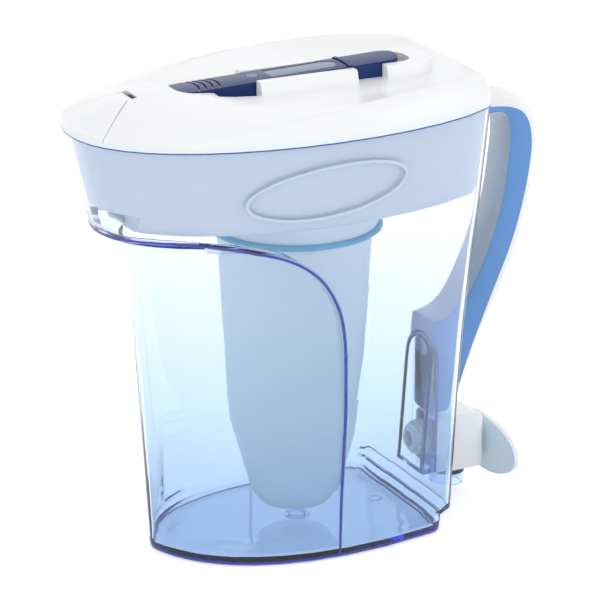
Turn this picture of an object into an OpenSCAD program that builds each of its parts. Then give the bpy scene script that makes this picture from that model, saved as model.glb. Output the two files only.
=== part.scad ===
// Water filter pitcher with a flip spout cover, a gravity reservoir with a screw-in filter,
// a water meter kept in the lid and a push tap under the handle.
// Millimetres. +Z is up, the base rests on z = 0, the spout points to -X and the handle to +X.
// Heights of the reservoir, filter, lid and meter are counted from the top edge of the pitcher.

/* [Pitcher] */
// Height of the top edge of the clear pitcher above the table
body_height = 245; // [240:1:256]
// Half of the pitcher's width at its top edge
rim_half_width = 75; // [72:0.5:78]
// Half of the pitcher's width at its base
base_half_width = 58; // [55:0.5:60]
// Thickness of the clear wall
wall = 2.6; // [2.2:0.1:3]
// Thickness of the pitcher's floor
floor_thickness = 5; // [3.5:0.25:6]

/* [Handle] */
// Width of the handle from side to side
handle_width = 25; // [22:0.5:29]
// Wall thickness of the hollow handle and its cover
handle_wall = 2.4; // [1.8:0.1:2.8]

/* [Filter] */
// Length of the filter below its sealing ring
filter_length = 166.5; // [130:0.5:167]
// Wall thickness of the filter housing
filter_wall = 1.8; // [1.4:0.1:2.4]

/* [Lid] */
// Thickness of the lid and of the spout cover
lid_wall = 2.4; // [2:0.1:2.8]
// Half width of the hinged spout cover near the rim
flap_half_width = 27; // [25:0.5:28]
// Height of the cradle walls that hold the meter, above the top edge of the pitcher
cradle_top = 19.5; // [17.5:0.5:21]

/* [Meter] */
// Width of the water meter
meter_width = 20; // [19:0.5:21]
// Thickness of the water meter
meter_height = 11.2; // [10.4:0.2:12]

/* [Tap] */
// Height of the tap's thrust line above the table
tap_height = 37.5; // [36:0.5:42]
// Outer diameter of the clear nozzle
nozzle_diameter = 20; // [18:0.5:22]
// Width of the oval push paddle
paddle_width = 72; // [50:1:76]
// Height of the oval push paddle
paddle_height = 33; // [28:0.5:36]
// Travel of the push paddle
paddle_travel = 2.5; // [1.5:0.1:2.6]

/* [Hidden] */
$fa = 4;
$fs = 0.6;

// Colours
clear_blue = [0.62, 0.76, 0.95, 0.45];
shell_white = [0.96, 0.965, 0.975];
milky = [0.90, 0.93, 0.96];
navy = [0.12, 0.20, 0.43];
turquoise = [0.36, 0.66, 0.84];
steel = [0.72, 0.73, 0.75];
rubber = [0.88, 0.89, 0.90];

// Heights along the clear wall
H = body_height;
band_edge = 0.777 * H;      // lower corner of the deep band at the nose
ledge_foot = 0.745 * H;     // where the ledge under the band meets the front wall
rear_x = 52.3;              // half width where the side runs into the rear corner
nose_x = -124.3;            // tip of the nose at the top edge
side_steps = 16;
corner_steps = 4;
rear_steps = 2;

// Clearances
fit = 0.05;                 // radial play of a pin or rod in its bore
part_gap = 1;               // free space between the reservoir and the clear wall
seam_gap = 0.25;            // half of the open seam around the spout cover

function lerp(a, b, t) = a + (b - a) * t;
function unit(v) = v / norm(v);
function bez2(a, b, c, t) = (1 - t) * (1 - t) * a + 2 * (1 - t) * t * b + t * t * c;
function bez3(a, b, c, d, t) =
    pow(1 - t, 3) * a + 3 * pow(1 - t, 2) * t * b + 3 * (1 - t) * t * t * c + pow(t, 3) * d;

// Smooth curve through the points p, with n steps from each point to the next
function curve_step(a, b, c, d, t) =
    0.5 * (2 * b + (c - a) * t + (2 * a - 5 * b + 4 * c - d) * t * t
        + (3 * b - a - 3 * c + d) * t * t * t);
function curve(p, n) = concat(
    [for (i = [0:len(p) - 2]) for (j = [0:n - 1])
        curve_step(p[max(i - 1, 0)], p[i], p[i + 1], p[min(i + 2, len(p) - 1)], j / n)],
    [p[len(p) - 1]]);

// Closed outline moved inwards by d, each corner mitred (the outline runs anticlockwise)
function right_of(a, b) = let (t = unit(b - a)) [t.y, -t.x];
function inset(p, d) = let (n = len(p)) [for (i = [0:n - 1])
    let (a = right_of(p[(i + n - 1) % n], p[i]), b = right_of(p[i], p[(i + 1) % n]))
    p[i] - d * (a + b) / (1 + a * b)];

// Solid between closed outlines of equal length, given from the lowest to the highest.
// A crested top is closed by strips between mirrored points, so it may rise and fall.
module loft(rings, crested = false) {
    n = len(rings[0]);
    m = len(rings);
    top = (m - 1) * n;
    polyhedron(
        points = [for (r = rings) for (p = r) p],
        faces = concat(
            [[for (i = [0:n - 1]) i]],
            [for (k = [0:m - 2], i = [0:n - 1])
                let (a = k * n + i, b = k * n + (i + 1) % n)
                each [[a, a + n, b + n], [a, b + n, b]]],
            crested
                ? concat([[top, top + n - 1, top + 1]], [for (i = [1:n / 2 - 2])
                    each [[top + i, top + n - i, top + n - i - 1], [top + i, top + n - i - 1, top + i + 1]]],
                    [[top + n / 2 - 1, top + n / 2 + 1, top + n / 2]])
                : [[for (i = [n - 1:-1:0]) top + i]]),
        convexity = 8);
}
function at_height(p, z) = [for (q = p) [q.x, q.y, z]];

// Turns a solid drawn upright so that its height lies along Y, and its plan in X and Z
module side_on() rotate([90, 0, 0]) children();

// A round bar along X from x0 to x1, centred on y and z
module bar_x(x0, x1, r, z, y = 0) translate([x0, y, z]) rotate([0, 90, 0]) cylinder(r = r, h = x1 - x0);
// A round bar along Y, centred on y = 0
module bar_y(x, z, r, length) translate([x, 0, z]) rotate([90, 0, 0])
    cylinder(r = r, h = length, center = true);

// ---- Plan of the pitcher -------------------------------------------------------------
// Half outline: a curve from the nose to the rear corner, the corner, then the rear wall.
// u is the height as a share of body_height.
function rear_corner(u) = lookup(u, [[0, 68.5], [0.043, 69.4], [0.056, 75.5], [0.18, 76.8],
    [0.327, 79.4], [0.494, 82.6], [0.67, 87.6], [0.784, 91.9], [1, 98.2]]);
function half_outline(xn, a, xr, b, c, bulge) =
    let (p3 = [xr, rear_x], k = p3 + 6.5 * unit([b, -c]), e = [k.x + 0.5, k.y - 6.5])
    concat(
        [for (i = [0:side_steps]) let (s = i / side_steps)
            bez3([xn, 0], [xn, a], [xr - b, rear_x + c], p3, s * (0.65 + 0.35 * s))],
        [for (i = [1:corner_steps]) bez2(p3, k, e, i / corner_steps)],
        [for (i = [1:rear_steps])
            bez2(e, [e.x + bulge, e.y * 0.5], [e.x + bulge, 0], i / rear_steps)]);
function closed(h, sy) = concat(
    [for (p = h) [p.x, -p.y * sy]],
    [for (i = [len(h) - 2:-1:1]) [h[i].x, h[i].y * sy]]);
function width_scale(u) = lerp(base_half_width / 58, rim_half_width / 75, u);

// The deep band and the sides behind the swoosh
function band_outline(u) = closed(half_outline(
    lookup(u, [[0, -82], [0.777, -110.8], [1, nose_x]]), lerp(4, 83.6, u), rear_corner(u),
    lerp(133.5, 60.7, u), lerp(27, 38.9, u), lerp(0, 3.5, u)), width_scale(u));
// The recessed front below the band; its rear ends just inside the band's
function front_outline(u) = closed(half_outline(
    lookup(u, [[0, -81], [0.06, -81.7], [0.27, -84.4], [0.535, -88.3], [0.71, -92.5], [0.745, -95.2]]),
    lerp(4, 56, u), rear_corner(u) - 0.5, lerp(133.5, 60.7, u), lerp(27, 38.9, u), lerp(0, 3.5, u)),
    width_scale(u) * (1 - 0.055 * u));

function band_ring(z, d) = at_height(inset(band_outline(z / H), d), z);
function front_ring(z, d) = at_height(inset(front_outline(z / H), d), z);

// ---- Swoosh: the band's lower edge, which sweeps down to the base on both sides -------
swoosh = [[-140, 0.78], [-111, 0.777], [-92, 0.781], [-76, 0.779], [-60, 0.770], [-46, 0.757],
    [-31, 0.738], [-18, 0.709], [-7, 0.666], [1.5, 0.602], [5.8, 0.522], [7.4, 0.384],
    [7.2, 0.265], [6.3, 0.0], [6.2, -0.05]];
function swoosh_edge() = curve([for (p = swoosh) [p.x, p.y * H]], 4);
// Everything in front of and below the swoosh; d moves the edge into the band
module below_swoosh(d) {
    edge = swoosh_edge();
    region = concat([[-140, -0.05 * H]], [for (i = [len(edge) - 1:-1:0]) edge[i]]);
    side_on() translate([0, 0, -100]) linear_extrude(200)
        polygon(d == 0 ? region : inset(region, -d));
}

module body_skin() {
    difference() {
        loft([band_ring(0, 2.4), band_ring(1.2, 0.7), band_ring(3.2, 0), band_ring(0.043 * H, 0),
            band_ring(0.056 * H, 0), band_ring(0.327 * H, 0), band_ring(0.494 * H, 0),
            band_ring(0.67 * H, 0), band_ring(0.784 * H, 0), band_ring(H, 0)]);
        below_swoosh(0);
    }
    loft([front_ring(0, 2.4), front_ring(1.2, 0.7), front_ring(3.2, 0), front_ring(0.043 * H, 0),
        front_ring(0.056 * H, 0), front_ring(0.27 * H, 0), front_ring(0.535 * H, 0),
        front_ring(0.71 * H, 0), front_ring(ledge_foot, 0),
        at_height(inset(band_outline(0.777), 0.6), band_edge)]);
}

module body_hollow() {
    step = 0.056 * H + wall;
    difference() {
        loft([at_height(inset(band_outline(0.02), wall + 2), floor_thickness),
            at_height(inset(band_outline(0.03), wall), floor_thickness + 2),
            at_height(inset(band_outline(0.043), wall), step - 3),
            at_height(inset(band_outline(0.056), wall), step),
            band_ring(0.327 * H, wall), band_ring(0.494 * H, wall), band_ring(0.67 * H, wall),
            band_ring(0.784 * H, wall), at_height(inset(band_outline(1), wall), H),
            at_height(inset(band_outline(1), wall), H + 1)]);
        below_swoosh(wall);
    }
    loft([at_height(inset(front_outline(0.02), wall + 2), floor_thickness),
        at_height(inset(front_outline(0.03), wall), floor_thickness + 2),
        at_height(inset(front_outline(0.043), wall), step - 3),
        at_height(inset(front_outline(0.056), wall), step),
        front_ring(0.27 * H, wall), front_ring(0.535 * H, wall), front_ring(0.71 * H, wall),
        at_height(inset(front_outline(0.745), wall), ledge_foot + 1.2),
        at_height(inset(band_outline(0.777), wall + 0.6), band_edge + wall),
        at_height(inset(band_outline(0.785), wall + 0.6), band_edge + wall + 2)]);
}

// ---- Rear pad: an arch-topped pocket that gives the tap a flat upright face -----------
pad_face = 92;
pad_width = 31;
pad_top = 102;
pad_foot = 20;
module arch(w, z0, z1) {
    translate([-w / 2, z0]) square([w, z1 - z0 - w / 2]);
    translate([0, z1 - w / 2]) circle(d = w);
}
module arch_bar(x0, x1, w, z0, z1) translate([x0, 0, 0])
    rotate([90, 0, 90]) linear_extrude(x1 - x0) arch(w, z0, z1);

module pad_block() arch_bar(74, pad_face, pad_width, pad_foot, pad_top);
// The rear wall with the pad, where the handle is joined on, as a prism on the wall's centre line
module handle_seat() {
    n = side_steps + corner_steps + rear_steps;
    side_on() translate([0, 0, -20]) linear_extrude(40)
        polygon(concat([[60, 0]],
            [for (u = [0.056, 0.327, 0.494, 0.67, 0.784, 1]) [band_outline(u)[n].x, u * H]],
            [[60, H]]));
    // The pad with a twelve-sided arch that just clears the round one
    translate([74, 0, 0]) rotate([90, 0, 90]) linear_extrude(pad_face - 74) {
        translate([-pad_width / 2, pad_foot]) square([pad_width, pad_top - pad_width / 2 - pad_foot]);
        translate([0, pad_top - pad_width / 2]) circle(d = pad_width / cos(15), $fn = 12);
    }
}

shank_r = 6.5;
module pitcher_body() color(clear_blue) difference() {
    union() {
        body_skin();
        pad_block();
    }
    body_hollow();
    arch_bar(64, pad_face - wall, pad_width - 2 * wall, pad_foot + wall, pad_top - wall);
    bar_x(pad_face - wall - 2, pad_face + 2, shank_r + 0.15, tap_height);
}

// ---- Handle --------------------------------------------------------------------------
// Side profile, heights given for a 245 mm pitcher and scaled with it.
hz = H / 245;
function scaled(p) = [for (q = p) [q.x, q.y * hz]];
// Back of the white cover, from the rear wall over the top, down and in to the pad
cover_back = curve(scaled([[94, 236], [110, 237.3], [128, 237.8], [141, 236], [148.5, 231],
    [152.4, 223], [153.6, 213], [152.9, 199], [150.7, 182], [147, 165], [141.6, 147],
    [134.6, 130], [126.4, 113.5], [117.6, 95], [110.3, 77], [103, 57], [96, 54.6], [86, 52.4]]), 3);
// Side of the frame that the fingers close around, point by point opposite the back
grip_edge = curve(scaled([[90, 215], [106, 221], [118, 226], [127, 227.8], [133, 226], [135.6, 219],
    [135.9, 208], [134.4, 195], [132.4, 180], [128.9, 164.5], [123.4, 149], [116.6, 134],
    [109.5, 122], [101, 114], [92, 111.2], [84, 109], [82, 92], [80, 66]]), 3);
// Edge between the white cover and the clear frame
cover_edge = curve(scaled([[94, 230.5], [110, 231.5], [124, 231.9], [135, 230.6], [143.4, 227],
    [148.2, 220], [150.2, 209], [149.3, 196], [146.8, 181], [142.6, 164], [137, 147],
    [130.2, 131], [122.4, 113], [114, 92.5], [107, 73], [101, 57]]), 3);

function reversed(p) = [for (i = [len(p) - 1:-1:0]) p[i]];

// The whole handle, swept along back and grip with rounded corners, before it is split
handle_round = 2.8;
module handle_blank() {
    w = handle_width / 2;
    r = handle_round;
    k = r * (1 - sqrt(0.5));
    loft([for (i = [0:len(cover_back) - 1])
        let (o = cover_back[i], g = grip_edge[i], e = unit(g - o), l = norm(g - o))
        [for (q = [[0, -w + r], [k, -w + k], [r, -w], [l - r, -w], [l - k, -w + k], [l, -w + r],
                [l, w - r], [l - k, w - k], [l - r, w], [r, w], [k, w - k], [0, w - r]])
            [o.x + e.x * q[0], q[1], o.y + e.y * q[0]]]]);
}
// Hollow of the handle, a channel along its whole length
module handle_channel() side_on() translate([0, 0, -handle_width / 2 + handle_wall])
    linear_extrude(handle_width - 2 * handle_wall) intersection() {
        polygon(inset(concat(reversed(cover_back), grip_edge), handle_wall));
        polygon([[pad_face + handle_wall, 0], [200, 0], [200, 300], [108, 300],
            [108, 200 * hz], [pad_face + handle_wall, 100 * hz]]);
    }
// All that lies outside the seam between frame and cover
module cover_side() side_on() translate([0, 0, -20]) linear_extrude(40)
    polygon(concat([[94, 300 * hz]], cover_edge, [[101, 20], [220, 20], [220, 300 * hz]]));
module handle_frame() color([0.45, 0.65, 0.92, 0.6]) difference() {
    handle_blank();
    cover_side();
    handle_channel();
    handle_seat();
}
module handle_cover() color(shell_white) difference() {
    intersection() {
        handle_blank();
        cover_side();
    }
    handle_channel();
    handle_seat();
}

// ---- Reservoir: a tub that hangs in the pitcher's mouth, with a pour well at the spout -
module at_rim() translate([0, 0, H]) children();
flange = 2.3;               // thickness of the rim flange
tub_wall = 2.2;
tub_foot = -49.6;           // underside of the tub
front_foot = -39;           // underside of the shallow front lobes
front_step = -98;           // where the tub's floor steps up
well_x = -118;              // centre of the half-round pour well
well_r = 24.6;
collar_r = 46;
collar_foot = -64.2;        // lower edge of the collar that takes the filter
filter_x = 7.5;
neck_r = 43;

function rim_ring(z, d) = at_height(inset(band_outline((H + z) / H), d), z);
module tub_outside() {
    loft([rim_ring(tub_foot, wall + part_gap + 3.6), rim_ring(tub_foot + 1.2, wall + part_gap + 1.6),
        rim_ring(tub_foot + 4, wall + part_gap + 0.4), rim_ring(tub_foot + 8, wall + part_gap),
        rim_ring(flange, wall + part_gap)]);
    loft([at_height(inset(band_outline(1), 0.2), 0), at_height(inset(band_outline(1), 0.2), flange)]);
    translate([filter_x, 0, collar_foot]) cylinder(r = collar_r, h = 20, $fn = 96);
}
module tub_hollow() {
    d = wall + part_gap + tub_wall;
    loft([rim_ring(tub_foot + tub_wall, d + 2.2), rim_ring(tub_foot + tub_wall + 1.5, d + 0.7),
        rim_ring(tub_foot + 8, d), rim_ring(flange, d), rim_ring(flange + 1, d)]);
}
module reservoir() color(milky) at_rim() difference() {
    tub_outside();
    // The tub itself, with a raised floor at the front and the wall of the pour well left standing
    difference() {
        tub_hollow();
        translate([-140, -80, tub_foot])
            cube([140 + front_step + tub_wall, 160, front_foot + tub_wall - tub_foot]);
        translate([well_x, 0, -60]) cylinder(r = well_r + tub_wall, h = 80, $fn = 96);
    }
    // Nothing hangs below the shallow front
    translate([-140, -80, tub_foot - 1]) cube([140 + front_step, 160, front_foot - tub_foot + 1]);
    // The pour well runs straight through
    intersection() {
        translate([well_x, 0, -60]) cylinder(r = well_r, h = 80, $fn = 96);
        loft([for (z = [tub_foot + 2, tub_foot + 8, flange, flange + 1])
            rim_ring(z, wall + part_gap + tub_wall)]);
    }
    // Socket for the filter's neck
    translate([filter_x, 0, collar_foot - 1]) cylinder(r = neck_r + 0.4, h = 22, $fn = 96);
}

// ---- Filter --------------------------------------------------------------------------
// Heights from the underside of the sealing ring, the length counted downwards.
ring_foot = collar_foot - 3.6;
ring_r = 48.4;
fl = filter_length / 166.5;
weld = -58 * fl;            // where the cup is welded to the upper housing
module at_filter() translate([filter_x, 0, H + ring_foot]) children();
module revolve(p) rotate_extrude($fn = 96) polygon(p);

module filter_ring() color(turquoise) at_filter() revolve([[neck_r + 0.02, 0.02], [ring_r - 1, 0.02],
    [ring_r, 0.8], [ring_r, 2], [ring_r - 0.8, 2.8], [neck_r + 0.02, 2.8]]);
module filter_gasket() color(rubber) at_filter() revolve([[neck_r + 0.4, 2.8], [collar_r - 0.4, 2.8],
    [collar_r - 0.4, 3.6], [neck_r + 0.4, 3.6]]);
module filter_shell() color(shell_white) at_filter() {
    w = filter_wall;
    revolve([[neck_r - w, 11], [neck_r, 11], [neck_r, 0], [44.6, 0], [44.6, -2.2], [42.6, -3.2],
        [42, -12 * fl], [39.6, weld], [39.6 - w, weld], [42 - w, -12 * fl], [neck_r - w, -1]]);
    // Inner grating that carries the media
    difference() {
        translate([0, 0, weld + 2]) cylinder(r = 39, h = 1.6, $fn = 96);
        for (ring = [0:3]) for (i = [0:5 + 6 * ring - 1])
            rotate(i * 360 / (5 + 6 * ring)) translate([6 + 9.4 * ring, 0, weld])
                cylinder(r = 2.4, h = 5, $fn = 16);
    }
}
module filter_cup() color(shell_white) at_filter() {
    w = filter_wall;
    foot = -filter_length + 3.5;
    revolve([[39.3, weld], [37.2, -102 * fl], [36.6, -105 * fl], [36, -113 * fl], [27.6, foot + 20],
        [24, foot + 8], [20, foot + 2.4], [14, foot], [9, foot], [9, foot + w], [13.4, foot + w],
        [18.6, foot + 4.2], [22.2, foot + 9], [27.6 - w, foot + 20.4], [36 - w, -112.6 * fl],
        [36.6 - w, -105 * fl], [39.3 - w, weld]]);
    // Outlet spider at the foot
    difference() {
        translate([0, 0, foot]) cylinder(r = 9.2, h = w, $fn = 48);
        for (i = [0:5]) rotate(60 * i) translate([5.4, 0, foot - 1]) cylinder(r = 1.9, h = 5, $fn = 20);
        translate([0, 0, foot - 1]) cylinder(r = 1.9, h = 5, $fn = 20);
    }
}
module filter_inlet_screen() color([0.80, 0.89, 0.95]) at_filter() difference() {
    union() {
        translate([0, 0, 8]) cylinder(r = neck_r - filter_wall - fit, h = 3, $fn = 96);
        translate([0, 0, 11]) cylinder(r = neck_r, h = 1.6, $fn = 96);
        translate([0, 0, 12.6]) cylinder(r1 = 30, r2 = 14, h = 3, $fn = 64);
    }
    translate([0, 0, 6]) cylinder(r = neck_r - filter_wall - 2, h = 4.6, $fn = 96);
    for (i = [0:17]) rotate(20 * i) translate([33, -1.1, 7]) cube([6.5, 2.2, 8]);
    for (i = [0:11]) rotate(30 * i) translate([20, -1.1, 7]) cube([7, 2.2, 12]);
}
module filter_foam() color([0.93, 0.93, 0.90]) at_filter()
    translate([0, 0, 2]) cylinder(r = 40, h = 5.8, $fn = 64);
module filter_carbon() color([0.16, 0.16, 0.17]) at_filter() revolve([[0, weld + 4], [37.4, weld + 4],
    [39.6, -12 * fl], [39.6, 1.6], [0, 1.6]]);
module filter_resin() color([0.78, 0.66, 0.42]) at_filter() revolve([[0, -filter_length + 14],
    [21, -filter_length + 14], [25, -filter_length + 24], [33.6, -113 * fl], [34.6, -104 * fl],
    [37, weld - 1], [0, weld - 1]]);
module filter_fleece() color([0.95, 0.95, 0.93]) at_filter()
    translate([0, 0, -filter_length + 8.8]) cylinder(r = 18.4, h = 3, $fn = 64);

// ---- Lid -----------------------------------------------------------------------------
// Heights of the top: edge_height follows the shoulder around the perimeter, low beside the
// spout and high at the rear; core_height follows the centre line, a ridge that climbs from
// the spout to the meter's tip and then the floor beside the cradle.
lid_foot = flange + 0.05;
skirt_top = 4.2;
function edge_height(x) = lookup(x, [[-127, 4.6], [-109, 4.8], [-90, 5.2], [-75, 6.6], [-60, 9],
    [-45, 11.4], [-25, 13.8], [0, 16], [30, 18], [64, 19.6], [110, 18.8]]);
function core_height(x) = lookup(x, [[-125, 4.8], [-119, 7.8], [-113, 11.8], [-106, 15.4], [-100, 17.4],
    [-92, 18.8], [-83, 20], [-73, 20.2], [-66, 19], [-56, 17.4], [-46, 16.2], [-36, 14], [-26, 12.6],
    [84, 12.2], [92, 14], [98, 16.8], [110, 17.2]]);
rim_half = half_outline(nose_x, 83.6, 98.2, 60.7, 38.9, 3.5);
rim_widths = [for (i = [0:side_steps + 2]) [rim_half[i].x, max(rim_half[i].y, 4) * width_scale(1)]];
// Share of the core height at v, the distance from the centre line over the half width there:
// a rounded roof in front, a floor with a raised edge behind
function roof(v) = 1 - 1.12 * v * v / (v + 0.12);
function trough(v) = let (t = min(1, max(0, (0.93 - v) / 0.32))) t * t * (3 - 2 * t);
function lid_height(x, y) = let (v = min(1, abs(y) / lookup(x, rim_widths)),
    b = min(1, max(0, (x + 72) / 40)))
    lerp(edge_height(x), core_height(x), lerp(roof(v), trough(v), b));
// Rings from the shoulder inwards: how far in, and how much of the height is reached
shoulder = [[0.9, 0.4], [2.6, 0.7], [5, 0.91], [7.5, 1]];
// Further rings shrink along X and Y
shrink = [[0.975, 0.86], [0.94, 0.70], [0.89, 0.52], [0.84, 0.34], [0.79, 0.17], [0.75, 0.02]];
lid_centre = -10;
function lid_top_rings(d, drop) = concat(
    [for (r = shoulder) [for (p = inset(band_outline(1), d + r[0]))
        [p.x, p.y, lerp(skirt_top, lid_height(p.x, p.y), r[1]) - drop]]],
    [for (r = shrink) [for (p = inset(band_outline(1), d + 7.5))
        let (x = lid_centre + (p.x - lid_centre) * r[0], y = p.y * r[1])
        [x, y, lid_height(x, y) - drop]]]);
module lid_outside() loft(concat([at_height(band_outline(1), lid_foot),
    at_height(band_outline(1), skirt_top)], lid_top_rings(0, 0)), crested = true);
module lid_hollow() loft(concat([at_height(inset(band_outline(1), lid_wall), lid_foot - 1.2)],
    lid_top_rings(lid_wall, lid_wall)), crested = true);

// Flat lip that rests on the reservoir's flange, and the locating skirt that drops into its mouth
skirt_inset = wall + part_gap + tub_wall + 1.8;
skirt_wall = 1.8;
module plan_ring(d0, d1) difference() {
    polygon(inset(band_outline(1), d0));
    polygon(inset(band_outline(1), d1));
}
module lid_skirt() {
    translate([0, 0, lid_foot]) linear_extrude(1.6) plan_ring(lid_wall / 2, skirt_inset + skirt_wall);
    // The skirt stops short of the pour well
    translate([0, 0, -3.5]) linear_extrude(4 + lid_foot) difference() {
        plan_ring(skirt_inset, skirt_inset + skirt_wall);
        translate([-160, -80]) square([160 + well_x + well_r + tub_wall + 2.2, 160]);
    }
}

// Cradle for the meter, which slopes down towards its nose
cradle_floor = 10.5;
cradle_wall = 5.2;
meter_play = 0.4;
cradle_half = meter_width / 2 + meter_play;
meter_nose = -65;
meter_end = 69;
meter_slope = 1.6;
cap_room = 7;               // free length behind the cap, so that it can leave the meter's neck
pocket_end = meter_end + cap_room;
corner_r = 8;               // corners of the cap and of the pocket's rear end
module sloped() translate([meter_end, 0, cradle_floor]) rotate([0, -meter_slope, 0])
    translate([-meter_end, 0, -cradle_floor]) children();

// Plan of the meter: a blunt rounded nose and a square shoulder that meets the cap
cap_x = 36;
half_w = meter_width / 2;
nose_r = 9;
module meter_plan(d) {
    translate([meter_nose + nose_r, d - half_w])
        square([cap_x - 0.4 - meter_nose - nose_r - d, meter_width - 2 * d]);
    for (side = [-1, 1]) translate([meter_nose + nose_r, side * (half_w - nose_r)])
        circle(r = nose_r - d, $fn = 48);
    translate([meter_nose + d, nose_r - half_w]) square([20, meter_width - 2 * nose_r]);
}
// Plan of a square-shouldered piece from x0 to x1 with two round corners at its rear
module round_ended(x0, x1, half) {
    translate([x0, -half]) square([x1 - corner_r - x0, 2 * half]);
    translate([x1 - corner_r - 1, corner_r - half]) square([corner_r + 1, 2 * (half - corner_r)]);
    for (side = [-1, 1]) translate([x1 - corner_r, side * (half - corner_r)]) circle(r = corner_r, $fn = 64);
}
module meter_pocket() sloped() translate([0, 0, cradle_floor]) linear_extrude(30) {
    meter_plan(-meter_play);
    round_ended(0, pocket_end, cradle_half);
}
// Walls beside the meter: rounded at the rear, with sloping outer flanks and rounded upper edges
module cradle_plan() {
    half = cradle_half + cradle_wall + 2;
    translate([-62, -half]) square([62 + meter_end + 3, 2 * half]);
    translate([meter_end + 3, 0]) circle(r = half, $fn = 96);
}
module cradle_block() intersection() {
    side = cradle_half + cradle_wall;
    sloped() translate([0, 0, cradle_floor - 2]) linear_extrude(30) cradle_plan();
    translate([-66, 0, 0]) rotate([90, 0, 90]) linear_extrude(180)
        polygon([[-side - 2, 0], [side + 2, 0], [side + 2, 13], [side + 0.4, cradle_top - 1],
            [side - 0.4, cradle_top], [0.4 - side, cradle_top], [-side - 0.4, cradle_top - 1],
            [-side - 2, 13]]);
}

// Plan of the spout cover: straight hinge edge at the rear, flanks that spread to the rim
hinge_x = -91.5;
hinge_z = 15.6;
barrel_r = 1.9;
barrel_half = 7;
flap_sweep = 4.1;
pin_r = 1;
module flap_region(g) translate([0, 0, -10]) linear_extrude(50) polygon([
    [hinge_x - 1.9 + g, -barrel_half],
    [hinge_x - 1.9 + g, barrel_half],
    [hinge_x - 5.5 + g, barrel_half + 3.6 + g],
    [-120, flap_half_width + 4 + g],
    [-150, flap_half_width + 30 + g],
    [-150, -flap_half_width - 30 - g],
    [-120, -flap_half_width - 4 - g],
    [hinge_x - 5.5 + g, -barrel_half - 3.6 - g]]);

notch_x = -45;              // front end of the finger notches
notch_reach = 6;            // how far they reach out from the meter's pocket
wall_x = -20;               // front end of the cradle's walls
// What stays standing inside the lid: walls round the meter's nose and the finger notches, and
// bosses for the hinge pin
module lid_inner_walls() {
    sloped() translate([meter_nose - 4, -cradle_half - 2, cradle_floor - 2])
        cube([60, 2 * cradle_half + 4, 16]);
    // Floor and sides of the finger notches
    translate([notch_x - 2, -cradle_half - notch_reach - 2, cradle_floor - 1.6])
        cube([wall_x - notch_x + 4, 2 * (cradle_half + notch_reach) + 4, 12]);
    for (side = [-1, 1]) translate([hinge_x - barrel_r, side * (barrel_half + 3.4) - 3, hinge_z - 3.2])
        cube([12, 6, 8]);
}
module lid() color(shell_white) at_rim() difference() {
    union() {
        difference() {
            lid_outside();
            difference() {
                lid_hollow();
                lid_inner_walls();
            }
            // Finger notches on both sides of the meter
            translate([notch_x, -cradle_half - notch_reach, cradle_floor + 0.4])
                cube([wall_x - notch_x, 2 * (cradle_half + notch_reach), 20]);
        }
        lid_skirt();
        difference() {
            cradle_block();
            translate([wall_x - 60, -40, 0]) cube([60, 80, 40]);
            // Gap in both walls beside the cap
            translate([cap_x + 2, -40, cradle_floor]) cube([18, 80, 40]);
        }
    }
    meter_pocket();
    flap_region(seam_gap);
    // Room for the barrel of the spout cover and for its rear edge, which turns round the barrel
    side_on() translate([0, 0, -barrel_half - 0.5]) linear_extrude(2 * barrel_half + 1) {
        translate([hinge_x, hinge_z]) circle(r = flap_sweep, $fn = 48);
        translate([hinge_x - 8, hinge_z - 2]) square([8, 9]);
    }
    bar_y(hinge_x, hinge_z, pin_r + fit, 2 * barrel_half + 9.6);
}

module spout_flap() color(shell_white) at_rim() difference() {
    union() {
        intersection() {
            difference() {
                lid_outside();
                lid_hollow();
            }
            flap_region(-seam_gap);
        }
        bar_y(hinge_x, hinge_z, barrel_r, 2 * barrel_half);
        // Web from the barrel to the shell
        translate([hinge_x - 6, -5, hinge_z - 1.2]) cube([6, 10, 2.4]);
    }
    bar_y(hinge_x, hinge_z, pin_r, 60);
}
module flap_hinge_pin() color(steel) at_rim() bar_y(hinge_x, hinge_z, pin_r, 2 * barrel_half + 8);

// ---- Meter ---------------------------------------------------------------------------
meter_foot = cradle_floor + 0.1;
meter_top = meter_foot + meter_height;
meter_split = meter_foot + 5.6;
button_x = -17.5;
neck_length = 6;            // part of the case that enters the cap
neck_step = 1.6;            // how much narrower it is on each side
module at_meter() at_rim() sloped() children();
// Crown of the top face, a large cylinder along the meter
module crown(top) translate([-100, 0, top - 70]) rotate([0, 90, 0])
    cylinder(r = 70, h = 220, $fn = 180);
module window_plan(d) {
    translate([-9 + d, -6.6 + d]) square([35 - 2 * d, 13.2 - 2 * d]);
    translate([26 - d, 0]) intersection() {
        circle(r = 6.6, $fn = 64);
        square([20, 13.2 - 2 * d], center = true);
    }
}

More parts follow.
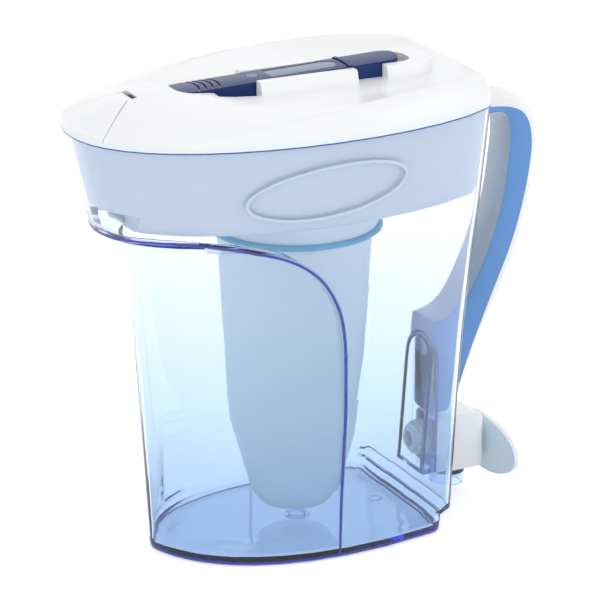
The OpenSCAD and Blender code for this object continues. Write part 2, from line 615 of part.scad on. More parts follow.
module meter_case_lower() color(navy) at_meter() difference() {
    union() {
        translate([0, 0, meter_foot]) linear_extrude(0.8) meter_plan(0.8);
        translate([0, 0, meter_foot + 0.8]) linear_extrude(meter_split - meter_foot - 0.8) meter_plan(0);
        translate([cap_x - 1, neck_step - half_w, meter_foot + 1.6])
            cube([neck_length + 1, meter_width - 2 * neck_step, meter_split - meter_foot - 1.6]);
    }
    translate([0, 0, meter_foot + 1.6]) linear_extrude(10) meter_plan(1.6);
    translate([cap_x - 6, 3.4 - half_w, meter_foot + 3]) cube([neck_length + 4, meter_width - 6.8, 10]);
    // Opening for the cell cover
    translate([-52, -7.2, meter_foot - 1]) cube([24, 14.4, 5]);
    for (side = [-1, 1]) bar_x(cap_x + 1, cap_x + 14, 0.8, meter_foot + 4.4, side * 4);
}
module meter_case_upper() color(navy) at_meter() difference() {
    intersection() {
        union() {
            translate([0, 0, meter_split]) linear_extrude(meter_height) meter_plan(0);
            translate([cap_x - 1, neck_step - half_w, meter_split])
                cube([neck_length + 1, meter_width - 2 * neck_step, meter_top - meter_split - 1.6]);
        }
        crown(meter_top);
    }
    translate([0, 0, meter_split - 1]) linear_extrude(meter_top - meter_split - 0.8) meter_plan(1.6);
    translate([cap_x - 6, 3.4 - half_w, meter_split - 1])
        cube([neck_length + 4, meter_width - 6.8, meter_top - meter_split - 2]);
    // Window recess, button hole and curved grip grooves
    translate([0, 0, meter_top - 3]) linear_extrude(6) window_plan(0);
    translate([button_x, 0, meter_top - 8]) cylinder(r = 3.7, h = 12, $fn = 48);
    for (i = [0:3]) translate([-71 + 4 * i, 0, meter_top - 0.9]) difference() {
        cylinder(r = 21, h = 3, $fn = 96);
        translate([0, 0, -1]) cylinder(r = 19.8, h = 5, $fn = 96);
        translate([-30, -30, -1]) cube([44, 60, 6]);
    }
}
module meter_window() color([0.42, 0.52, 0.68]) at_meter() intersection() {
    translate([0, 0, meter_top - 2.9]) linear_extrude(6) window_plan(0.12);
    crown(meter_top - 0.25);
}
module meter_display() color([0.62, 0.68, 0.66]) at_meter()
    translate([-7, -5.4, meter_top - 4.6]) cube([34, 10.8, 1.5]);
module meter_board() color([0.10, 0.36, 0.22]) at_meter()
    translate([-26, -8, meter_foot + 3.2]) cube([58, 16, 1.2]);
module meter_cells() color(steel) at_meter() for (i = [0, 1])
    translate([-46 + 12 * i, 0, meter_foot + 1.4]) cylinder(r = 5.7, h = 5, $fn = 48);
module meter_cell_cover() color(navy) at_meter()
    translate([-51.8, -7, meter_foot + 0.05]) cube([23.6, 14, 1.2]);
module meter_probes() color(steel) at_meter() for (side = [-1, 1])
    bar_x(cap_x + 2, meter_end - 6, 0.8, meter_foot + 4.4, side * 4);
module meter_button() color([0.55, 0.62, 0.74]) at_meter() {
    translate([button_x, 0, meter_top - 3.4]) cylinder(r = 3.4, h = 3.5, $fn = 48);
    translate([button_x, 0, meter_top - 4]) cylinder(r = 4.4, h = 1, $fn = 48);
}
module meter_cap() color(navy) at_meter() difference() {
    intersection() {
        translate([0, 0, meter_foot + 0.1]) linear_extrude(meter_height + 0.6)
            round_ended(cap_x, meter_end, half_w);
        union() {
            crown(meter_top);
            intersection() {
                translate([cap_x, -20, 0]) cube([2.2, 40, 40]);
                crown(meter_top + 0.7);
            }
        }
    }
    // Socket for the neck and room for the probes
    translate([cap_x - 1, neck_step - half_w - 0.1, meter_foot + 1.5])
        cube([neck_length + 1.3, meter_width - 2 * neck_step + 0.2, meter_height - 3]);
    translate([cap_x, -7, meter_foot + 2]) cube([meter_end - 4 - cap_x, 14, meter_height - 4.5]);
}

// ---- Tap -----------------------------------------------------------------------------
housing_x = pad_face + 1.2;
housing_end = 125.6;
housing_half = 12;
housing_foot = tap_height - 20.2;
housing_top = tap_height + 13.5;
seat_x = 100;
nozzle_x = 106.6;
rod_r = 1.8;
brow_r = 10;
module rounded_block(d) {
    r = 8;
    translate([housing_x, d - housing_half]) square([housing_end - housing_x - r, 2 * (housing_half - d)]);
    translate([housing_end - r - 1, r - housing_half]) square([r + 1 - d, 2 * (housing_half - r)]);
    for (side = [-1, 1]) translate([housing_end - r, side * (housing_half - r)])
        circle(r = r - d, $fn = 64);
}
module tap_housing() color(shell_white) difference() {
    union() {
        translate([0, 0, housing_foot]) linear_extrude(0.8) rounded_block(0.8);
        translate([0, 0, housing_foot + 0.8]) linear_extrude(housing_top - housing_foot - 2.2)
            rounded_block(0);
        translate([0, 0, housing_top - 1.4]) linear_extrude(0.7) rounded_block(0.5);
        translate([0, 0, housing_top - 0.7]) linear_extrude(0.7) rounded_block(1.4);
    }
    // Rounded brow over the end of the housing
    side_on() translate([0, 0, -20]) linear_extrude(40) difference() {
        translate([housing_end - brow_r, housing_top - brow_r]) square(brow_r + 2);
        translate([housing_end - brow_r, housing_top - brow_r]) circle(r = brow_r, $fn = 96);
    }
    // Counterbore for the shank's flange, inlet chamber, valve seat, outlet chamber, spring chamber
    bar_x(housing_x - 1, housing_x + 2, 10.5, tap_height);
    bar_x(housing_x + 1.9, seat_x, 8, tap_height);
    bar_x(seat_x - 1, seat_x + 3, 4, tap_height);
    bar_x(seat_x + 1.5, 112, 8, tap_height);
    bar_x(111, 115.5, 3.2, tap_height);
    bar_x(114.5, housing_end + 1, 5.6, tap_height);
    // Outlet down to the nozzle
    translate([nozzle_x, 0, housing_foot - 1]) cylinder(r = 5.3, h = tap_height - housing_foot, $fn = 64);
}
module tap_shank() color(shell_white) difference() {
    union() {
        bar_x(80, housing_x + 1, shank_r, tap_height);
        bar_x(housing_x, housing_x + 2, 10.5, tap_height);
    }
    bar_x(79, housing_x + 3, 4.6, tap_height);
}
module about_thrust(angle) translate([0, 0, tap_height]) rotate([angle, 0, 0]) children();
module tap_nut() color(shell_white) difference() {
    union() {
        bar_x(82, 84.4, 9, tap_height);
        bar_x(84.4, 87.8, 10, tap_height);
    }
    bar_x(81, 90, shank_r, tap_height);
    for (i = [0:7]) about_thrust(45 * i) translate([81, 8, -1]) cube([3.4, 3, 2]);
}
module tap_inner_washer() color(rubber) difference() {
    bar_x(87.8, pad_face - wall, 10.6, tap_height);
    bar_x(87, 91, shank_r + 0.1, tap_height);
}
module tap_outer_washer() color(rubber) difference() {
    bar_x(pad_face, housing_x, 11, tap_height);
    bar_x(pad_face - 1, housing_x + 1, shank_r + 0.1, tap_height);
}
module tap_nozzle() color([0.45, 0.72, 0.95, 0.6]) {
    r = nozzle_diameter / 2;
    translate([nozzle_x, 0, 0]) revolve([[7, 7], [r - 1.2, 7], [r - 1, 8], [r, housing_foot],
        [5.3, housing_foot], [5.3, housing_foot + 8], [4.2, housing_foot + 8], [4.2, housing_foot - 2],
        [7.4, housing_foot - 4]]);
}
module tap_plunger() color(shell_white) {
    bar_x(seat_x - 3, 131.5, rod_r, tap_height);
    bar_x(seat_x - 3.2, seat_x - 2, 4.4, tap_height);
    bar_x(122, 123, 4.6, tap_height);
}
module tap_valve_seal() color([0.20, 0.22, 0.26]) difference() {
    bar_x(seat_x - 2, seat_x, 6.4, tap_height);
    bar_x(seat_x - 3, seat_x + 1, rod_r, tap_height);
}
spring_foot = 114.5;        // fixed end, on the floor of the spring chamber
spring_turns = 4;
spring_r = 4.2;
wire_r = 0.35;
module tap_spring() color(steel) translate([spring_foot + wire_r, 0, tap_height]) rotate([0, 90, 0])
    loft([for (k = [0:12 * spring_turns])
        let (a = 30 * k, z = (122 - spring_foot - 2 * wire_r) * k / (12 * spring_turns))
        [for (i = [0:5]) let (r = spring_r + wire_r * cos(60 * i))
            [r * cos(a), r * sin(a), z - wire_r * sin(60 * i)]]]);
module tap_rod_seal() color([0.20, 0.22, 0.26]) difference() {
    bar_x(112.6, 114.4, 3.2, tap_height);
    bar_x(112, 115, rod_r + fit, tap_height);
}
module tap_end_bush() color(shell_white) difference() {
    bar_x(123.6, housing_end, 5.6, tap_height);
    bar_x(123, housing_end + 1, rod_r + fit, tap_height);
}
paddle_x = housing_end + paddle_travel + 0.3;   // face turned to the housing
paddle_z = 27.5;
dish_r = 380;               // the paddle is a shallow dish, hollow towards the hand
module tap_paddle() color(shell_white) difference() {
    union() {
        intersection() {
            translate([paddle_x + dish_r, 0, paddle_z]) difference() {
                sphere(r = dish_r, $fn = 300);
                sphere(r = dish_r - 2.6, $fn = 300);
            }
            translate([120, 0, paddle_z]) rotate([0, 90, 0]) scale([paddle_height / paddle_width, 1, 1])
                cylinder(d = paddle_width, h = 20, $fn = 120);
        }
        bar_x(paddle_x + 0.6, paddle_x + 4, 4.2, tap_height);
    }
    bar_x(120, 131.5, rod_r, tap_height);
}

pitcher_body();
handle_frame();
handle_cover();
reservoir();
filter_shell();
filter_cup();
filter_ring();
filter_gasket();
filter_inlet_screen();
filter_foam();
filter_carbon();
filter_resin();
filter_fleece();
lid();
spout_flap();
flap_hinge_pin();
meter_case_lower();
meter_case_upper();
meter_window();
meter_display();
meter_board();
meter_cells();
meter_cell_cover();
meter_probes();
meter_button();
meter_cap();
tap_housing();
tap_shank();
tap_nut();
tap_inner_washer();
tap_outer_washer();
tap_nozzle();
tap_plunger();
tap_valve_seal();
tap_spring();
tap_rod_seal();
tap_end_bush();
tap_paddle();
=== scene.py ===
"""Looks for a clear blue water filter pitcher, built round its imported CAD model. Metres, +Z up."""
import math

import bmesh
import bpy
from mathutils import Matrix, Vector
from mathutils.bvhtree import BVHTree


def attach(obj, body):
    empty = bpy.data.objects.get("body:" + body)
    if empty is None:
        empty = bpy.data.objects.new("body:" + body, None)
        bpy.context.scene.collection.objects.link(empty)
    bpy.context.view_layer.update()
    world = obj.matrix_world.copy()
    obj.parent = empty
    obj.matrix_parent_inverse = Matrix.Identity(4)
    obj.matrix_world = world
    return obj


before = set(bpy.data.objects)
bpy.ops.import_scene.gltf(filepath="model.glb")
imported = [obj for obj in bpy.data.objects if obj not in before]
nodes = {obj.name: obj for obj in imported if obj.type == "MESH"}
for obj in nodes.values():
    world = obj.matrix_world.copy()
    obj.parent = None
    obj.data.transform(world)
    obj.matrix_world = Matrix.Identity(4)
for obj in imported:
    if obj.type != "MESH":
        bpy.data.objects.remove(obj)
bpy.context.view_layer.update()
scene = bpy.context.scene


# ---- Materials -----------------------------------------------------------------------

class Shader:
    """A material with one Principled shader, and short calls for the nodes round it."""

    def __init__(self, name, colour, roughness, **sockets):
        self.material = bpy.data.materials.new(name)
        self.material.use_nodes = True
        self.tree = self.material.node_tree
        self.main = self.tree.nodes["Principled BSDF"]
        self.out = self.tree.nodes["Material Output"]
        self.main.inputs["Base Color"].default_value = (*colour, 1)
        self.main.inputs["Roughness"].default_value = roughness
        for key, value in sockets.items():
            self.main.inputs[key.replace("_", " ")].default_value = value
        self.coords = self.tree.nodes.new("ShaderNodeTexCoord")

    def node(self, kind, **values):
        made = self.tree.nodes.new(kind)
        for key, value in values.items():
            if key in made.inputs:
                made.inputs[key].default_value = value
            else:
                setattr(made, key, value)
        return made

    def link(self, a, b):
        self.tree.links.new(a, b)

    def scaled(self, stretch=(1, 1, 1)):
        mapping = self.node("ShaderNodeMapping")
        mapping.inputs["Scale"].default_value = stretch
        self.link(self.coords.outputs["Object"], mapping.inputs["Vector"])
        return mapping.outputs["Vector"]

    def noise(self, scale, detail, stretch=(1, 1, 1)):
        made = self.node("ShaderNodeTexNoise", Scale=scale, Detail=detail)
        self.link(self.scaled(stretch), made.inputs["Vector"])
        return made.outputs["Fac"]

    def ramp(self, value, low, high, start, end):
        made = self.node("ShaderNodeValToRGB")
        a, b = made.color_ramp.elements
        a.position, b.position = start, end
        a.color, b.color = (*low, 1), (*high, 1)
        self.link(value, made.inputs["Fac"])
        return made.outputs["Color"]

    def spread(self, value, low, high):
        made = self.node("ShaderNodeMapRange")
        made.inputs["To Min"].default_value = low
        made.inputs["To Max"].default_value = high
        self.link(value, made.inputs["Value"])
        return made.outputs["Result"]

    def bump(self, value, strength, distance, under=None):
        made = self.node("ShaderNodeBump", Strength=strength, Distance=distance)
        self.link(value, made.inputs["Height"])
        if under is not None:
            self.link(under, made.inputs["Normal"])
        self.link(made.outputs["Normal"], self.main.inputs["Normal"])
        return made.outputs["Normal"]

    def vary_roughness(self, scale, low, high, stretch=(1, 1, 1)):
        patches = self.noise(scale, detail=4, stretch=stretch)
        self.link(self.spread(patches, low, high), self.main.inputs["Roughness"])

    def absorb(self, colour, density):
        made = self.node("ShaderNodeVolumeAbsorption")
        made.inputs["Color"].default_value = (*colour, 1)
        made.inputs["Density"].default_value = density
        self.link(made.outputs["Volume"], self.out.inputs["Volume"])

    def clear_moulding(self, tint, density, roughness, ripple):
        """Slow ripples drawn out in height, shine that varies a little, and light absorbed inside."""
        self.vary_roughness(scale=60, low=roughness * 0.6, high=roughness * 1.6)
        self.bump(self.noise(scale=9, detail=2, stretch=(1, 1, 0.45)), strength=0.25, distance=ripple)
        self.absorb(tint, density)


def clear_plastic(name, tint, density, roughness, ripple, low, high=(1, 1, 1), top=0.25):
    """Moulded clear plastic: light is absorbed along its path, so cut edges and long ways turn deep blue.
    The surface tint goes from low at the table to high at the height top: a painted reflection that makes
    the wall whiter towards the top."""
    s = Shader(name, (1, 1, 1), roughness, IOR=1.49)
    s.main.inputs["Transmission Weight"].default_value = 1
    apart = s.node("ShaderNodeSeparateXYZ")
    s.link(s.coords.outputs["Object"], apart.inputs["Vector"])
    height = s.node("ShaderNodeMapRange")
    height.inputs["From Max"].default_value = top
    s.link(apart.outputs["Z"], height.inputs["Value"])
    # Painted reflection: the base colour grows paler towards the top.
    s.link(s.ramp(height.outputs["Result"], low, high, start=0, end=1), s.main.inputs["Base Color"])
    s.clear_moulding(tint, density, roughness, ripple)
    return s.material


def handle_plastic(name, tint, density, roughness, ripple, side, grip, clear):
    """Thick clear plastic, hazy by the share that clear leaves.
    Its colour by which way a face turns is painted light: the flat sides are painted a deeper blue for the
    depth seen through the plastic, and the grip is painted paler where it sits in shade."""
    s = Shader(name, side, roughness, IOR=1.49)
    s.main.inputs["Transmission Weight"].default_value = clear
    facing = s.node("ShaderNodeSeparateXYZ")
    s.link(s.coords.outputs["Normal"], facing.inputs["Vector"])
    sideways = s.node("ShaderNodeMath", operation="ABSOLUTE")
    s.link(facing.outputs["Y"], sideways.inputs[0])
    # Painted light: colour set by facing, deeper blue on the flat sides and paler on the grip.
    s.link(s.ramp(sideways.outputs["Value"], grip, side, start=0.25, end=0.8), s.main.inputs["Base Color"])
    s.clear_moulding(tint, density, roughness, ripple)
    return s.material


def moulded(name, colour, shade, roughness, grain=900, depth=0.00003, spread=0.25, wave=0.0002, **sockets):
    """Opaque moulded plastic: faint colour clouds, fine grain, slow waves and shine that varies a little."""
    s = Shader(name, colour, roughness, **sockets)
    clouds = s.noise(scale=14, detail=3)
    s.link(s.ramp(clouds, shade, colour, start=0, end=1), s.main.inputs["Base Color"])
    s.vary_roughness(scale=45, low=roughness * (1 - spread), high=roughness * (1 + spread))
    fine = s.bump(s.noise(grain, detail=2), strength=0.25, distance=depth)
    s.bump(s.noise(scale=30, detail=2), strength=0.08, distance=wave, under=fine)
    return s.material


def metal(name, colour, roughness, stretch):
    """Bright metal with fine marks, drawn out where stretch differs between the axes."""
    s = Shader(name, colour, roughness, Metallic=1)
    s.vary_roughness(scale=400, low=roughness * 0.7, high=roughness * 1.5, stretch=stretch)
    s.bump(s.noise(scale=700, detail=2, stretch=stretch), strength=0.2, distance=0.00002)
    return s.material


def granular(name, dark, light, size, roughness, depth):
    """Loose filling seen as packed grains, each painted light in its middle and dark towards its edges:
    painted shade in the gaps between grains.
    """
    s = Shader(name, light, roughness)
    cells = s.node("ShaderNodeTexVoronoi", Scale=size)
    s.link(s.scaled(), cells.inputs["Vector"])
    # Painted shade: darker towards each grain's edge, where the gaps are.
    s.link(s.ramp(cells.outputs["Distance"], light, dark, start=0.1, end=0.7), s.main.inputs["Base Color"])
    s.bump(s.spread(cells.outputs["Distance"], low=1, high=0), strength=0.8, distance=depth)
    return s.material


# The walls' tint from low to high is a painted reflection, whiter towards the top.
CLEAR = clear_plastic("clear_blue_wall", (0.10, 0.33, 0.94), 38, 0.03, 0.0003,
                      low=(0.66, 0.805, 0.91), high=(0.98, 0.985, 1), top=0.20)
# The handle's side and grip colours are painted light, set by which way each face turns.
CLEAR_HANDLE = handle_plastic("clear_blue_handle", (0.10, 0.50, 0.99), 40, 0.05, 0.0004,
                              side=(0.18, 0.48, 0.98), grip=(0.90, 0.98, 1), clear=0.42)
CLEAR_NOZZLE = clear_plastic("clear_blue_nozzle", (0.20, 0.55, 0.96), 90, 0.05, 0.0002,
                             low=(0.70, 0.82, 0.94))
RAISED_LINE = moulded("raised_pale_blue", (0.56, 0.70, 0.83), (0.53, 0.67, 0.81), 0.3, depth=0.000008,
                      wave=0.00003)
# Painted shade: opaque deep blue for the dark edges that light shows along the clear wall's creases.
EDGE_SHADE = moulded("edge_painted_shade", (0.020, 0.046, 0.60), (0.016, 0.038, 0.54), 0.3, depth=0.000008,
                    wave=0.00003)
WHITE = moulded("white_gloss_shell", (0.92, 0.925, 0.94), (0.912, 0.918, 0.935), 0.30, depth=0.000008,
                spread=0.08, wave=0.00003)
WHITE_TAP = moulded("white_tap", (0.93, 0.945, 0.97), (0.92, 0.935, 0.965), 0.32, depth=0.00001,
                    spread=0.1, wave=0.00004)
# Painted shade: the white paddle is given a pale blue cast for its face turned from the light.
PADDLE = moulded("paddle_white_painted_shade", (0.80, 0.92, 0.99), (0.785, 0.91, 0.98), 0.33, wave=0.00006)
MILKY = moulded("milky_reservoir", (0.83, 0.955, 0.99), (0.815, 0.945, 0.98), 0.34, depth=0.00001,
                wave=0.00006)
FILTER_WHITE = moulded("filter_satin_white", (0.84, 0.97, 0.99), (0.82, 0.96, 0.98), 0.42, depth=0.00002)
TURQUOISE = moulded("turquoise_ring", (0.09, 0.52, 0.74), (0.07, 0.48, 0.71), 0.32)
PALE_BLUE = moulded("pale_blue_screen", (0.62, 0.78, 0.90), (0.58, 0.75, 0.88), 0.4)
NAVY = moulded("meter_navy", (0.012, 0.034, 0.15), (0.010, 0.029, 0.13), 0.26, depth=0.00001, wave=0.00006,
               Specular_IOR_Level=0.22)
NAVY_CAP = moulded("meter_cap_navy", (0.013, 0.038, 0.16), (0.011, 0.033, 0.14), 0.34, depth=0.00001,
                   wave=0.00006, Specular_IOR_Level=0.22)
WINDOW = moulded("meter_window", (0.14, 0.22, 0.36), (0.12, 0.20, 0.34), 0.12, depth=0.000004,
                 Transmission_Weight=0.25)
DISPLAY = moulded("display_panel", (0.36, 0.42, 0.40), (0.34, 0.40, 0.38), 0.3)
BOARD = moulded("circuit_lacquer", (0.02, 0.14, 0.06), (0.015, 0.11, 0.05), 0.3, depth=0.0001)
BUTTON = moulded("soft_button", (0.22, 0.30, 0.45), (0.2, 0.28, 0.42), 0.55, depth=0.00006)
PALE_RUBBER = moulded("pale_silicone", (0.70, 0.73, 0.77), (0.66, 0.69, 0.74), 0.6, depth=0.00008)
DARK_RUBBER = moulded("dark_seal", (0.035, 0.04, 0.05), (0.03, 0.033, 0.04), 0.6, depth=0.00008)
STEEL = metal("polished_steel", (0.62, 0.63, 0.65), 0.18, (1, 1, 1))
WIRE = metal("spring_wire", (0.55, 0.56, 0.58), 0.25, (1, 1, 8))
FOAM = granular("filter_foam", (0.55, 0.55, 0.50), (0.86, 0.86, 0.80), 900, 0.9, 0.0006)
CARBON = granular("carbon_granules", (0.004, 0.004, 0.005), (0.05, 0.05, 0.055), 1100, 0.55, 0.0008)
RESIN = granular("resin_beads", (0.30, 0.20, 0.08), (0.66, 0.50, 0.27), 1500, 0.3, 0.0006)
FLEECE = granular("felt_pad", (0.72, 0.72, 0.70), (0.90, 0.90, 0.88), 2200, 0.95, 0.0003)

FINISH = {
    "pitcher_body": CLEAR, "handle_frame": CLEAR_HANDLE, "handle_cover": WHITE, "reservoir": MILKY,
    "filter_shell": FILTER_WHITE, "filter_cup": FILTER_WHITE, "filter_ring": TURQUOISE,
    "filter_gasket": PALE_RUBBER, "filter_inlet_screen": PALE_BLUE, "filter_foam": FOAM,
    "filter_carbon": CARBON, "filter_resin": RESIN, "filter_fleece": FLEECE,
    "lid": WHITE, "spout_flap": WHITE, "flap_hinge_pin": STEEL,
    "meter_case_lower": NAVY, "meter_case_upper": NAVY, "meter_window": WINDOW,
    "meter_display": DISPLAY, "meter_board": BOARD, "meter_cells": STEEL, "meter_cell_cover": NAVY,
    "meter_probes": STEEL, "meter_button": BUTTON, "meter_cap": NAVY_CAP,
    "tap_housing": WHITE_TAP, "tap_shank": WHITE_TAP, "tap_nut": WHITE_TAP,
    "tap_inner_washer": PALE_RUBBER, "tap_outer_washer": PALE_RUBBER, "tap_nozzle": CLEAR_NOZZLE,
    "tap_plunger": WHITE_TAP, "tap_valve_seal": DARK_RUBBER, "tap_spring": WIRE,
    "tap_rod_seal": DARK_RUBBER, "tap_end_bush": WHITE_TAP, "tap_paddle": PADDLE,
}
for name, material in FINISH.items():
    piece = nodes[name]
    piece.data.materials.clear()
    piece.data.materials.append(material)


# ---- Smooth shading ------------------------------------------------------------------
CREASE_ANGLE = 28                 # degrees: sharper edges keep their crease
MERGE_WITHIN = 2e-6


def smoothing(limit_degrees):
    """Modifier nodes that join the faces' corners and shade smooth,
    except over edges sharper than the limit."""
    group = bpy.data.node_groups.new(f"smooth_{limit_degrees}", "GeometryNodeTree")
    group.interface.new_socket("Geometry", in_out="INPUT", socket_type="NodeSocketGeometry")
    group.interface.new_socket("Geometry", in_out="OUTPUT", socket_type="NodeSocketGeometry")
    made = {key: group.nodes.new(kind) for key, kind in (
        ("in", "NodeGroupInput"), ("merge", "GeometryNodeMergeByDistance"),
        ("drop", "GeometryNodeRemoveAttribute"), ("faces", "GeometryNodeSetShadeSmooth"),
        ("edges", "GeometryNodeSetShadeSmooth"), ("angle", "GeometryNodeInputMeshEdgeAngle"),
        ("sharp", "FunctionNodeCompare"), ("out", "NodeGroupOutput"))}
    made["merge"].inputs["Distance"].default_value = MERGE_WITHIN
    made["drop"].inputs["Name"].default_value = "custom_normal"
    made["faces"].inputs["Shade Smooth"].default_value = True
    made["edges"].domain = "EDGE"
    made["edges"].inputs["Shade Smooth"].default_value = False
    made["sharp"].operation = "GREATER_THAN"
    made["sharp"].inputs["B"].default_value = math.radians(limit_degrees)
    group.links.new(made["angle"].outputs["Unsigned Angle"], made["sharp"].inputs["A"])
    group.links.new(made["sharp"].outputs["Result"], made["edges"].inputs["Selection"])
    chain = ["in", "merge", "drop", "faces", "edges", "out"]
    for a, b in zip(chain, chain[1:]):
        group.links.new(made[a].outputs[0], made[b].inputs[0])
    return group


SMOOTH = smoothing(CREASE_ANGLE)
for name in FINISH:
    nodes[name].modifiers.new("smooth", "NODES").node_group = SMOOTH


# ---- Moulded details on the clear wall and floor, and painted shade lines along its creases ---
NEAR, FAR = -1, 1
OUTSIDE = 0.2                     # y from which a ray meets the body's side
ABOVE_FLOOR = 0.1                 # z from which a ray meets the pitcher's floor
OVAL_CENTRE, OVAL_HALF = (-0.006, 0.2173), (0.0458, 0.0140)
OVAL_TILT = math.radians(5)
OVAL_WIDTH, OVAL_HEIGHT = 0.0020, 0.0004
FLOOR_GATE, FLOOR_MARK = (0.009, 0), (0.058, -0.001)
BASE_CREASE_Z, RIM_Z = 0.0012, 0.245       # between the two bevels of the base's edge, and the rim
SKIN_LOW_Z, SKIN_HIGH_Z = 0.0015, 0.1916   # above that crease, and above the deep band's lower corner
SAME_LEVEL = 1e-4                 # how far a crease's height may be off and still count
RIM_FRONT_X = -0.1235             # between the front ends of the rim's outer and inner creases
BASE_LINE, RIM_LINE, FRONT_LINE = 0.0008, 0.00035, 0.0007   # radii of the edge lines
LINE_SEAT = 1.7                   # depth of an edge line's centre below its crease, in radii

wall = BVHTree.FromPolygons([v.co.copy() for v in nodes["pitcher_body"].data.vertices],
                            [tuple(p.vertices) for p in nodes["pitcher_body"].data.polygons])


def on_wall(x, z, side):
    """Point of the outer wall at x and z on one side, and the wall's outward normal there."""
    place, normal = wall.ray_cast(Vector((x, side * OUTSIDE, z)), Vector((0, -side, 0)))[:2]
    if normal.y * side < 0:
        normal = -normal
    return place, normal


def ridge(name, path, width, height, body, finish):
    """Closed raised band along path, a list of (point, normal, sideways) with width along sideways.
    Its corners are rounded and its underside lies just off the surface."""
    section = [(-0.5, 0.04), (-0.5, 0.5), (-0.42, 0.86), (-0.3, 1), (0.3, 1), (0.42, 0.86), (0.5, 0.5),
               (0.5, 0.04)]
    mesh = bmesh.new()
    rings = []
    for place, normal, sideways in path:
        rings.append([mesh.verts.new(place + sideways * (a * width) + normal * (b * height))
                      for a, b in section])
    for ring, following in zip(rings, rings[1:] + rings[:1]):
        for i in range(len(section)):
            j = (i + 1) % len(section)
            mesh.faces.new((ring[i], ring[j], following[j], following[i]))
    bmesh.ops.recalc_face_normals(mesh, faces=mesh.faces)
    for face in mesh.faces:
        face.smooth = True
    data = bpy.data.meshes.new(name)
    mesh.to_mesh(data)
    mesh.free()
    piece = bpy.data.objects.new(name, data)
    scene.collection.objects.link(piece)
    data.materials.append(finish)
    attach(piece, body)


def wall_oval(name, centre, half, tilt, side):
    """Bare raised oval outline that follows the curved band."""
    count = 144                   # points round the oval
    points = []
    for i in range(count):
        turn = math.tau * i / count
        a, b = half[0] * math.cos(turn), half[1] * math.sin(turn)
        points.append(on_wall(centre[0] + a * math.cos(tilt) - b * math.sin(tilt),
                              centre[1] + a * math.sin(tilt) + b * math.cos(tilt), side))
    reach = range(-7, 8)          # the neighbours whose normals are averaged
    path = []
    for i, (place, _) in enumerate(points):
        normal = sum((points[(i + k) % count][1] for k in reach), Vector()).normalized()
        along = (points[(i + 1) % count][0] - points[i - 1][0]).normalized()
        path.append((place, normal, along.cross(normal).normalized()))
    ridge(name, path, OVAL_WIDTH, OVAL_HEIGHT, "pitcher", RAISED_LINE)


def floor_ring(name, centre, radius, width, height):
    """Round moulding mark that stands on the pitcher's floor."""
    z = wall.ray_cast(Vector((*centre, ABOVE_FLOOR)), Vector((0, 0, -1)))[0].z
    count = 48
    path = []
    for i in range(count):
        turn = math.tau * i / count
        out = Vector((math.cos(turn), math.sin(turn), 0))
        path.append((Vector((*centre, z)) + out * radius, Vector((0, 0, 1)), out))
    ridge(name, path, width, height, "pitcher", CLEAR)


def crease_lines(keep, shortest=0.04):
    """Polylines along the body's outward creases whose two ends pass keep(point).
    Each is a list of (point, normal), with whether it closes."""
    mesh = bmesh.new()
    mesh.from_mesh(nodes["pitcher_body"].data)
    bmesh.ops.remove_doubles(mesh, verts=mesh.verts, dist=MERGE_WITHIN)
    mesh.normal_update()
    following = {}
    for edge in mesh.edges:
        sharp = edge.is_manifold and edge.calc_face_angle() > math.radians(CREASE_ANGLE) and edge.is_convex
        if sharp and all(keep(v.co) for v in edge.verts):
            a, b = edge.verts
            following.setdefault(a.index, set()).add(b.index)
            following.setdefault(b.index, set()).add(a.index)
    mesh.verts.ensure_lookup_table()
    lines = []
    while following:
        ends = sorted(i for i, to in following.items() if len(to) == 1)
        start = here = ends[0] if ends else min(following)
        walk = [here]
        while following.get(here):
            ahead = min(following[here], key=lambda i: turn_cost(mesh, walk, i))
            following[here].discard(ahead)
            following[ahead].discard(here)
            walk.append(ahead)
            here = ahead
        following = {i: to for i, to in following.items() if to}
        closed = here == start and len(walk) > 3
        if closed:
            walk.pop()
        points = [(mesh.verts[i].co.copy(), mesh.verts[i].normal.copy()) for i in walk]
        if sum((b[0] - a[0]).length for a, b in zip(points, points[1:])) > shortest:
            lines.append((points, closed))
    mesh.free()
    return lines


def turn_cost(mesh, walk, ahead):
    """How far a walk along creases would turn by going on to the vertex ahead."""
    if len(walk) < 2:
        return ahead * 1e-9
    before, here = mesh.verts[walk[-2]].co, mesh.verts[walk[-1]].co
    return -(here - before).normalized().dot((mesh.verts[ahead].co - here).normalized())


def edge_shade_line(name, lines, radius):
    """Thin round deep blue line just inside the clear wall, along a crease: painted shade where light makes
    the plastic look deepest.
    """
    curve = bpy.data.curves.new(name, "CURVE")
    curve.dimensions = "3D"
    curve.bevel_depth = radius
    curve.bevel_resolution = 2
    curve.use_fill_caps = True
    for points, closed in lines:
        spline = curve.splines.new("POLY")
        spline.points.add(len(points) - 1)
        for slot, (place, normal) in zip(spline.points, points):
            slot.co = (*(place - normal * radius * LINE_SEAT), 1)
        spline.use_cyclic_u = closed
    piece = bpy.data.objects.new(name, curve)
    scene.collection.objects.link(piece)
    curve.materials.append(EDGE_SHADE)
    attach(piece, "pitcher")


def on_skin(point, slack=0.0005):
    """Whether the point lies on the body's outside, seen from the side."""
    side = NEAR if point.y < 0 else FAR
    hit = wall.ray_cast(Vector((point.x, side * OUTSIDE, point.z)), Vector((0, -side, 0)))[0]
    return hit is not None and (hit - point).length < slack


# Painted shade lines along the base, rim and front creases.
edge_shade_line("edge_line_base", crease_lines(lambda p: abs(p.z - BASE_CREASE_Z) < SAME_LEVEL)
          + crease_lines(lambda p: abs(p.z) < SAME_LEVEL), BASE_LINE)
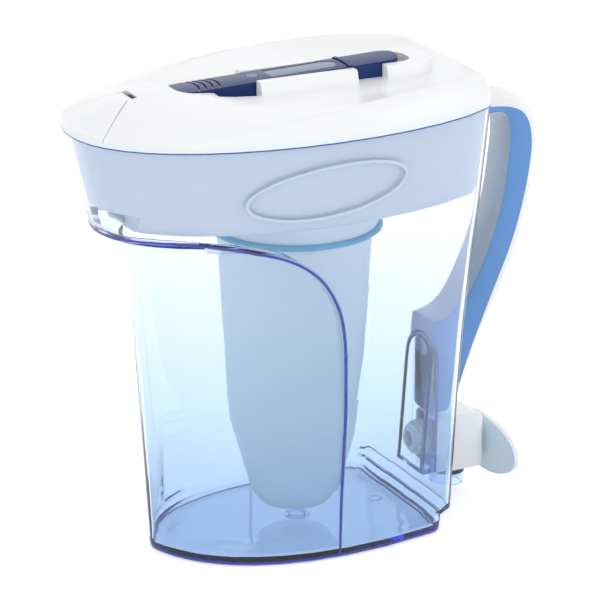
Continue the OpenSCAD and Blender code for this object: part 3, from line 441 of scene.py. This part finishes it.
# The rim has an outer and an inner crease, and the outer one is wanted
rim_lines = [line for line in crease_lines(lambda p: abs(p.z - RIM_Z) < SAME_LEVEL)
             if min(point.x for point, _ in line[0]) < RIM_FRONT_X]
edge_shade_line("edge_line_rim", rim_lines, RIM_LINE)
# Long creases of the outside between the base and the deep band, at both ends of the pitcher.
# The length leaves out two short ones: in the floor near the front, and low at the rear
skin_lines = crease_lines(lambda p: SKIN_LOW_Z < p.z < SKIN_HIGH_Z and on_skin(p), shortest=0.1)
edge_shade_line("edge_line_front", skin_lines, FRONT_LINE)

for side, label in ((NEAR, "near"), (FAR, "far")):
    wall_oval(f"band_oval_{label}", OVAL_CENTRE, OVAL_HALF, OVAL_TILT, side)
floor_ring("floor_gate_mark", FLOOR_GATE, radius=0.0045, width=0.0014, height=0.0012)
floor_ring("floor_gate_rim", FLOOR_GATE, radius=0.0068, width=0.0007, height=0.0004)
floor_ring("floor_round_mark", FLOOR_MARK, radius=0.0036, width=0.0009, height=0.0005)


# ---- Camera --------------------------------------------------------------------------
AZIMUTH, ELEVATION, DISTANCE = math.radians(-26.622), math.radians(19.434), 1.8
TARGET = Vector((0.011156, 0, 0.13227))
camera = bpy.data.objects.new("camera", bpy.data.cameras.new("camera"))
scene.collection.objects.link(camera)
back = Vector((math.sin(AZIMUTH) * math.cos(ELEVATION), -math.cos(AZIMUTH) * math.cos(ELEVATION),
               math.sin(ELEVATION)))
camera.location = TARGET + DISTANCE * back
camera.rotation_euler = (-back).to_track_quat("-Z", "Y").to_euler()
camera.data.lens = 195.23
camera.data.sensor_width = 36
camera.data.clip_end = 50
scene.camera = camera


# ---- Floor, backdrop and light -------------------------------------------------------
FLOOR_SEEN, FLOOR_BENT = 0.55, 0.65   # the floor's own glow, seen straight and by gloss or glass
FLOOR_SIZE, FLOOR_DROP = 16, 0.0002
AMBIENT = 0.86                        # the world's strength on the object
AIM = (0, 0, 0.14)
BOUNCES = 32

def seen_white(tree, direct, indirect):
    """A strength for rays from the camera, and another for rays that reach it by gloss or glass."""
    path = tree.nodes.new("ShaderNodeLightPath")

    def math_node(operation, a, b, clamp=False):
        made = tree.nodes.new("ShaderNodeMath")
        made.operation = operation
        made.use_clamp = clamp
        for slot, value in enumerate((a, b)):
            if isinstance(value, float):
                made.inputs[slot].default_value = value
            else:
                tree.links.new(value, made.inputs[slot])
        return made.outputs[0]

    bent = math_node("ADD", path.outputs["Is Glossy Ray"], path.outputs["Is Transmission Ray"], True)
    return math_node("ADD", math_node("MULTIPLY", path.outputs["Is Camera Ray"], float(direct)),
                     math_node("MULTIPLY", bent, float(indirect)))


def lit_floor(name, colour):
    """Pale floor that keeps soft shadows and reads as white beside the object and through it."""
    material = bpy.data.materials.new(name)
    material.use_nodes = True
    tree = material.node_tree
    main = tree.nodes["Principled BSDF"]
    main.inputs["Base Color"].default_value = (*colour, 1)
    main.inputs["Roughness"].default_value = 0.6
    main.inputs["Specular IOR Level"].default_value = 0.2
    main.inputs["Emission Color"].default_value = (1, 1, 1, 1)
    tree.links.new(seen_white(tree, FLOOR_SEEN, FLOOR_BENT), main.inputs["Emission Strength"])
    return material


bpy.ops.mesh.primitive_plane_add(size=FLOOR_SIZE, location=(0, 0, -FLOOR_DROP))
floor = bpy.context.object
floor.name = "floor"
floor.data.materials.append(lit_floor("pale_floor", (0.80, 0.81, 0.83)))

world = bpy.data.worlds.new("studio")
scene.world = world
world.use_nodes = True
sky = world.node_tree
background = sky.nodes["Background"]
background.inputs["Color"].default_value = (1, 1, 1, 1)
extra = seen_white(sky, 1 - AMBIENT, 1 - AMBIENT)
level = sky.nodes.new("ShaderNodeMath")
level.operation = "ADD"
level.inputs[1].default_value = AMBIENT
sky.links.new(extra, level.inputs[0])
sky.links.new(level.outputs[0], background.inputs["Strength"])


def soft_box(name, place, size, power):
    """Rectangular lamp turned to the object."""
    lamp = bpy.data.lights.new(name, "AREA")
    lamp.shape = "RECTANGLE"
    lamp.size, lamp.size_y = size
    lamp.energy = power
    thing = bpy.data.objects.new(name, lamp)
    thing.location = place
    thing.rotation_euler = (Vector(AIM) - Vector(place)).to_track_quat("-Z", "Y").to_euler()
    scene.collection.objects.link(thing)


soft_box("key", (-1.0, -1.6, 1.0), size=(1.2, 1.2), power=6)
soft_box("fill", (1.7, -1.2, 0.6), size=(1.4, 1.0), power=5)
soft_box("back", (0.4, 1.9, 1.3), size=(1.6, 1.2), power=2.5)

scene.cycles.max_bounces = BOUNCES
scene.cycles.transmission_bounces = BOUNCES
scene.view_settings.view_transform = "Standard"
